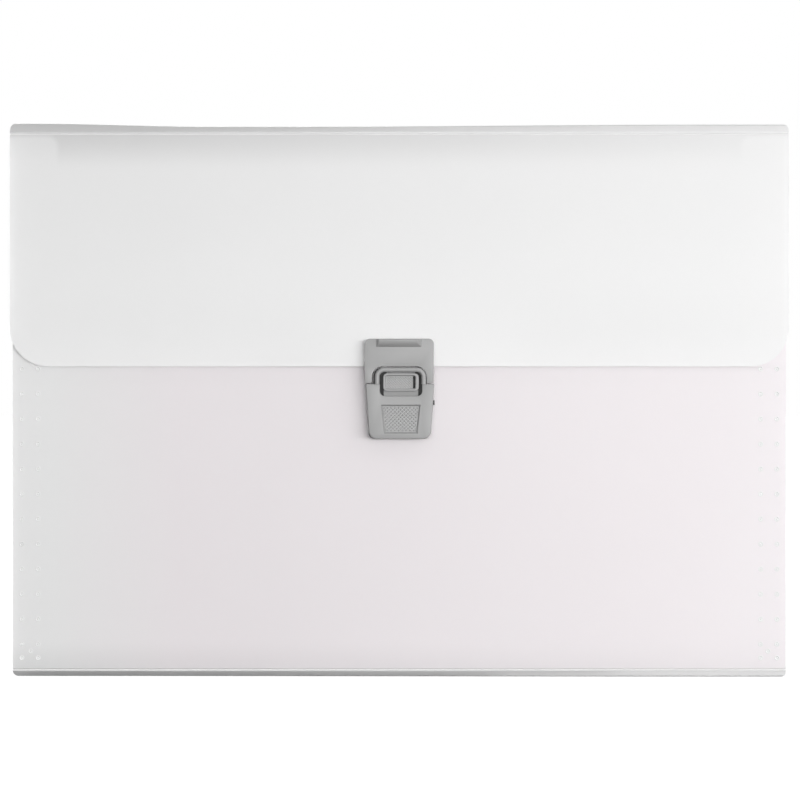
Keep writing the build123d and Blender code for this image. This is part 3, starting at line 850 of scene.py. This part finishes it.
# %% Top and bottom spines
crease_z = 230.8
crown_z = 234.6
foot_crease_z = 2.8
foot_z = 0.4
top_strip = folded_strip([(-20.738, 230.586), (-14.4, crown_z), (11.6, crown_z), (17.938, 230.586)],
                         sheet_half, corner=2.2, reach_z=235)
foot_strip = folded_strip([(-17.968, 2.958), (-12.0, foot_z), (12.0, foot_z), (17.968, 2.958)],
                          sheet_half - 1, corner=2.2, reach_z=0)
sag_left = 1.33
sag_eased = 0.78
crown_forward = 3.0
foot_forward = 4.3
for vertex in top_strip.data.vertices:
    x, y, z = vertex.co / MM
    risen = smooth_step(z, crease_z + 0.4, crown_z)
    sag = sag_left * smooth_step(x, -155, -80) - sag_eased * smooth_step(x, -50, 130)
    vertex.co.z -= sag * risen * MM
    if y < 0:
        vertex.co.y -= crown_forward * smooth_step(x, -60, sheet_half) * risen * MM
for vertex in foot_strip.data.vertices:
    x, y, z = vertex.co / MM
    sunk = smooth_step(-z, -foot_crease_z + 0.4, -foot_z)
    if y < 0:
        vertex.co.y -= foot_forward * smooth_step(x, -sheet_half, 130) * sunk * MM
finish_piece(top_strip, "top_spine_sheet", crown_plastic, "top_spine")
finish_piece(foot_strip, "bottom_spine_sheet", cover_plastic, "back_cover")
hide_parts("top_spine")
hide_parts("bottom_spine")
print("spine faces:", len(top_strip.data.polygons), len(foot_strip.data.polygons))

# %% [markdown]
# Each side of the file is closed by one pleated film. It is welded to the front and back panels with a
# flat flange, and between them it goes in to every divider and out again. As the file fans open, each
# pleat opens a little, so each is a piece of its own; here every pleat stays where it is built. One pleat
# is a strip of film folded once. The fold gets a round bevel, the leaves a slight belly, and the strip
# its thickness last.

# %% One pleat
pocket_count = 7
film = 0.3
outer_fold = 163.0
first_fold = -16.95
pitch = -2 * first_fold / pocket_count
gusset_foot = 4.0
belly = 0.22


def pleat(count):
    """The film between two inner folds, counted from the front: out to the outer fold and back."""
    near = first_fold + count * pitch
    leaf = [(inner_fold, near), (inner_fold + 6, near + pitch / 6 - belly),
            (inner_fold + 12, near + pitch / 3 - belly), (outer_fold, near + pitch / 2)]
    back = [(x, 2 * near + pitch - y) for x, y in reversed(leaf[:-1])]
    (x, y), (next_x, next_y) = leaf[:2]
    middle_z = (gusset_foot + gusset_top) / 2
    strip = start_sheet(hypot(next_x - x, next_y - y), gusset_top - gusset_foot,
                        ((x + next_x) / 2, (y + next_y) / 2, middle_z),
                        (pi / 2, 0, atan2(next_y - y, next_x - x)))
    fold_along(strip, [(x, y, middle_z) for x, y in leaf + back], 0.5)
    shape_with(strip, "SOLIDIFY", thickness=film * MM, offset=0.0, use_even_offset=True)
    return strip


divider_bodies = [f"divider_{count}" for count in range(pocket_count - 1, 0, -1)]
chain = ["front_cover", *divider_bodies, "back_cover"]
for count in range(pocket_count):
    for side, piece in finish_pair(pleat(count), f"pleat_{count + 1}", film_plastic):
        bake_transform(piece)
        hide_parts(f"{side}_gusset")
print("pleats:", 2 * pocket_count)

# %% [markdown]
# The flanges are the film's flat ends. They lie on the inside of the panels, one millimetre in from
# the side edge, and reach above the front panel, where they show through the flap with a round
# corner. Each is a thin block with that corner bevelled.

# %% Flanges
def flange(y):
    """The film that lies on a panel, with its inner top corner rounded."""
    sheet = start_block((inner_fold - film / 2, y - film / 2, gusset_foot),
                        (outer_fold + film / 2, y + film / 2, gusset_top))
    bevel_along("y", sheet, flange_round, 6,
                lambda at: at.z > gusset_top - 1 and at.x < inner_fold + 1)
    return sheet


for place, y, body in (("front", first_fold, "front_cover"), ("back", -first_fold, "back_cover")):
    for side, piece in finish_pair(flange(y), f"{place}_flange", film_plastic, body):
        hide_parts(f"{side}_gusset")
print("flanges reach", gusset_top, "mm")

# %% [markdown]
# At every inner fold the film is heat sealed along the divider's edge. The seal is a narrow flat bead
# of both plastics, a little thicker than the sheets it joins, with a round edge towards the pocket.

# %% Divider seals
seal_top = 221.0
seal_half = 0.32
for count in range(1, pocket_count):
    y = first_fold + count * pitch
    bead = start_block((inner_fold - 1.4, y - seal_half, gusset_foot),
                       (inner_fold + 0.5, y + seal_half, seal_top))
    bevel_along("z", bead, 0.25, 3)
    finish_pair(bead, f"seal_{count}", weld_plastic, chain[count])
print("seals:", 2 * (pocket_count - 1))

# %% [markdown]
# The flanges are held by spot welds. The horn of the welder melts both sheets, so each spot is a
# small crater with a raised rim and a pip in its middle. Its half section is drawn edge by edge and
# spun round, and the spot is copied to every place in the two columns down each side.

# %% Spot welds
def weld_spot(x, y, z, outward):
    """One weld at a place on a face that looks along -Y (outward -1) or +Y (outward 1)."""
    section = [(0.0, -0.10), (0.32, -0.12), (0.55, -0.22), (0.82, 0.12), (1.2, -0.02), (1.1, -0.35),
               (0.0, -0.35)]
    clear_bench()
    bpy.ops.mesh.primitive_plane_add(size=1)
    spot = bpy.context.object
    pick(spot, "VERT", lambda at, facing: True)
    bpy.ops.mesh.merge(type="CENTER")
    bpy.ops.transform.translate(value=(x * MM, (y + outward * section[0][1]) * MM, z * MM))
    for (radius, rise), (next_radius, next_rise) in zip(section, section[1:]):
        extrude_by(next_radius - radius, outward * (next_rise - rise), 0)
    bpy.ops.mesh.select_all(action="SELECT")
    bpy.ops.mesh.spin(steps=10, angle=2 * pi, center=(x * MM, y * MM, z * MM), axis=(0, 1, 0))
    bpy.ops.mesh.select_all(action="SELECT")
    bpy.ops.mesh.remove_doubles(threshold=0.01 * MM)
    bpy.ops.mesh.normals_make_consistent(inside=False)
    bpy.ops.object.mode_set(mode="OBJECT")
    return spot


front_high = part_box("front_panel")[1]
back_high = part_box("back_panel")[1]
panel_half = front_high.x / MM
weld_columns = (3.8, 10.7)
weld_pitch = 10.62
lowest_row = 8.1
first_row = 13.9
clear_of_head = 8.0
extra_weld = (7.6, 10.9)
for place, y, outward, body, top in (("front", -18.0, -1, "front_cover", front_high.z / MM),
                                     ("back", 18.0, 1, "back_cover", back_high.z / MM)):
    rows = int((top - clear_of_head - first_row) / weld_pitch) + 1
    heights = [lowest_row] + [first_row + weld_pitch * row for row in range(rows)]
    places = [(inset, z) for inset in weld_columns for z in heights] + [extra_weld]
    first_inset, first_z = places[0]
    first = weld_spot(panel_half - first_inset, y, first_z, outward)
    spots = [first] + [copied(first, (first_inset - inset, 0, z - first_z)) for inset, z in places[1:]]
    finish_pair(merge(spots), f"{place}_welds", weld_plastic, body)
    print(place, "welds:", 2 * len(places))

# %% [markdown]
# The creases are living hinges: the sheet is scored from both sides until a film of about 0.2 mm is
# left, and it bends there. The CAD keeps a round bead on the spine and a gap to the panel. A tongue
# of film bridges the gap, waisted in the middle, and ends at the bead's centre, so that it stays in
# the bead at any angle.

# %% Living hinges
def tongue(y, z, run, half):
    """A waisted film along X that runs up or down from a bead's centre to the panel that turns on it."""
    strip = start_sheet(2 * half, 1.0, (0, y, z + run / 2), (atan2(run, 0), 0, 0))
    pick(strip, "EDGE", lambda at, along: abs(along.x) < 0.1)
    bpy.ops.mesh.subdivide(number_cuts=4)
    shape_with(strip, "SOLIDIFY", thickness=0.56 * MM, offset=0.0)
    for share, keep in ((0.4, 0.45), (0.6, 0.4)):
        waist = z + run * share
        pick(strip, "VERT", lambda at, facing: abs((at.z - waist) * run) < 0.05)
        bpy.ops.transform.resize(value=(1, keep, 1), center_override=(0, y * MM, waist * MM))
    return strip


bead_y = 17.6
flap_bead_y = -20.4
half = panel_half - 0.4
creases = (("bottom_front_hinge", -bead_y, foot_crease_z, 1.0, half, "front_cover"),
           ("bottom_back_hinge", bead_y, foot_crease_z, 1.0, half, "back_cover"),
           ("top_back_hinge", bead_y, crease_z, -1.0, half, "back_cover"),
           ("top_front_hinge", flap_bead_y, crease_z, -1.3, half + 1.0, "flap"))
for name, y, z, run, reach, body in creases:
    hinge = tongue(y, z, run, reach)
    finish_piece(hinge, name, cover_plastic, body)
print("hinges:", len(creases))

# %% [markdown]
# The floor is plain and pale. The photograph's background is pure white, so the camera, and what it
# sees in a gloss, gets a white glow with the shadow kept under it. For the light itself the floor
# is an ordinary light grey. Light that a milky sheet scatters on its way through counts as light and
# not as sight, or the folder would glow from inside.

# %% Floor
def seen_by_eye(tree):
    """1 for rays from the camera and those that a gloss or a clear part sends on, else 0."""
    path = add_node(tree, "ShaderNodeLightPath")
    direct = add_node(tree, "ShaderNodeMath", {
        0: path.outputs["Is Camera Ray"], 1: path.outputs["Is Glossy Ray"]}, operation="MAXIMUM")
    either = add_node(tree, "ShaderNodeMath", {
        0: direct.outputs[0], 1: path.outputs["Is Transmission Ray"]}, operation="MAXIMUM")
    sharp = add_node(tree, "ShaderNodeMath", {
        0: either.outputs[0], 1: path.outputs["Is Diffuse Ray"]}, operation="SUBTRACT",
        use_clamp=True)
    return sharp.outputs[0]


clear_bench()
bpy.ops.mesh.primitive_plane_add(size=60)
floor = bpy.context.object
floor.name = "floor"
material, tree, out = new_material("pale_floor")
lit = add_node(tree, "ShaderNodeBsdfDiffuse", {"Color": linear("#707070")})
dim = add_node(tree, "ShaderNodeBsdfDiffuse", {"Color": linear("#A0A0A0")})
white = add_node(tree, "ShaderNodeEmission", {"Color": linear("#FFFFFF"), "Strength": 0.9})
glowing = add_node(tree, "ShaderNodeAddShader", {0: dim.outputs[0], 1: white.outputs[0]})
both = add_node(tree, "ShaderNodeMixShader", {
    "Fac": seen_by_eye(tree), 1: lit.outputs[0], 2: glowing.outputs[0]})
tree.links.new(both.outputs[0], out.inputs["Surface"])
floor.data.materials.append(material)

# %% [markdown]
# The file was lit by a broad source at its own height, well to the right, and little else: what
# faces left is dark, the folds that face up or down are half as bright as the front, and all of it
# brightens to the right. A large far softbox gives the level, a tall strip near the right end
# gives the rise towards it, and the world fills in weakly. One more softbox lights the back, which
# the photograph doesn't show.

# %% World and lamps
world = bpy.data.worlds.new("studio")
bpy.context.scene.world = world
world.use_nodes = True
tree = world.node_tree
tree.nodes.clear()
fill = 0.43
level = add_node(tree, "ShaderNodeMapRange", {"Value": seen_by_eye(tree), "To Min": fill, "To Max": 1.0})
light = add_node(tree, "ShaderNodeBackground", {"Color": (1, 1, 1, 1), "Strength": level.outputs[0]})
add_node(tree, "ShaderNodeOutputWorld", {"Surface": light.outputs[0]})


def softbox(name, place, target, size, watts):
    """A rectangular lamp that looks at a target."""
    lamp = bpy.data.lights.new(name, "AREA")
    lamp.shape = "RECTANGLE"
    lamp.size, lamp.size_y = size
    lamp.energy = watts
    made = bpy.data.objects.new(name, lamp)
    bpy.context.scene.collection.objects.link(made)
    made.location = place
    made.rotation_euler = (Vector(target) - Vector(place)).to_track_quat("-Z", "Y").to_euler()


softbox("key_softbox", (1.3, -2.2, 0.12), (0.0, 0.0, 0.12), (1.8, 0.7), 40)
softbox("front_softbox", (0.2, -2.6, 0.16), (0.0, 0.0, 0.12), (1.6, 0.5), 31)
softbox("right_strip", (0.50, -0.30, 0.31), (0.165, -0.02, 0.12), (0.2, 0.6), 0.5)
softbox("back_softbox", (-0.9, 2.4, 0.6), (0.0, 0.0, 0.12), (1.8, 1.0), 42)

# %% [markdown]
# The camera looks square at the front from the file's middle height. A long lens keeps the sides
# parallel, and its distance follows from how much of the picture the flap fills.

# %% Camera
camera = bpy.data.objects.new("camera", bpy.data.cameras.new("camera"))
bpy.context.scene.collection.objects.link(camera)
bpy.context.scene.camera = camera
camera.data.lens = 200.0
camera.data.sensor_width = 36.0
picture_px = 800
flap_px = 779.0
seen_width = (flap_high.x - flap_low.x) * picture_px / flap_px
distance = camera.data.lens / camera.data.sensor_width * seen_width
to_the_right = 0.0003
camera.location = (to_the_right, flap_low.y - distance, cad_high.z / 2)
camera.rotation_euler = (radians(90), 0, 0)
bpy.context.scene.view_settings.view_transform = "Standard"
print("camera is", round(distance, 3), "m from the flap")
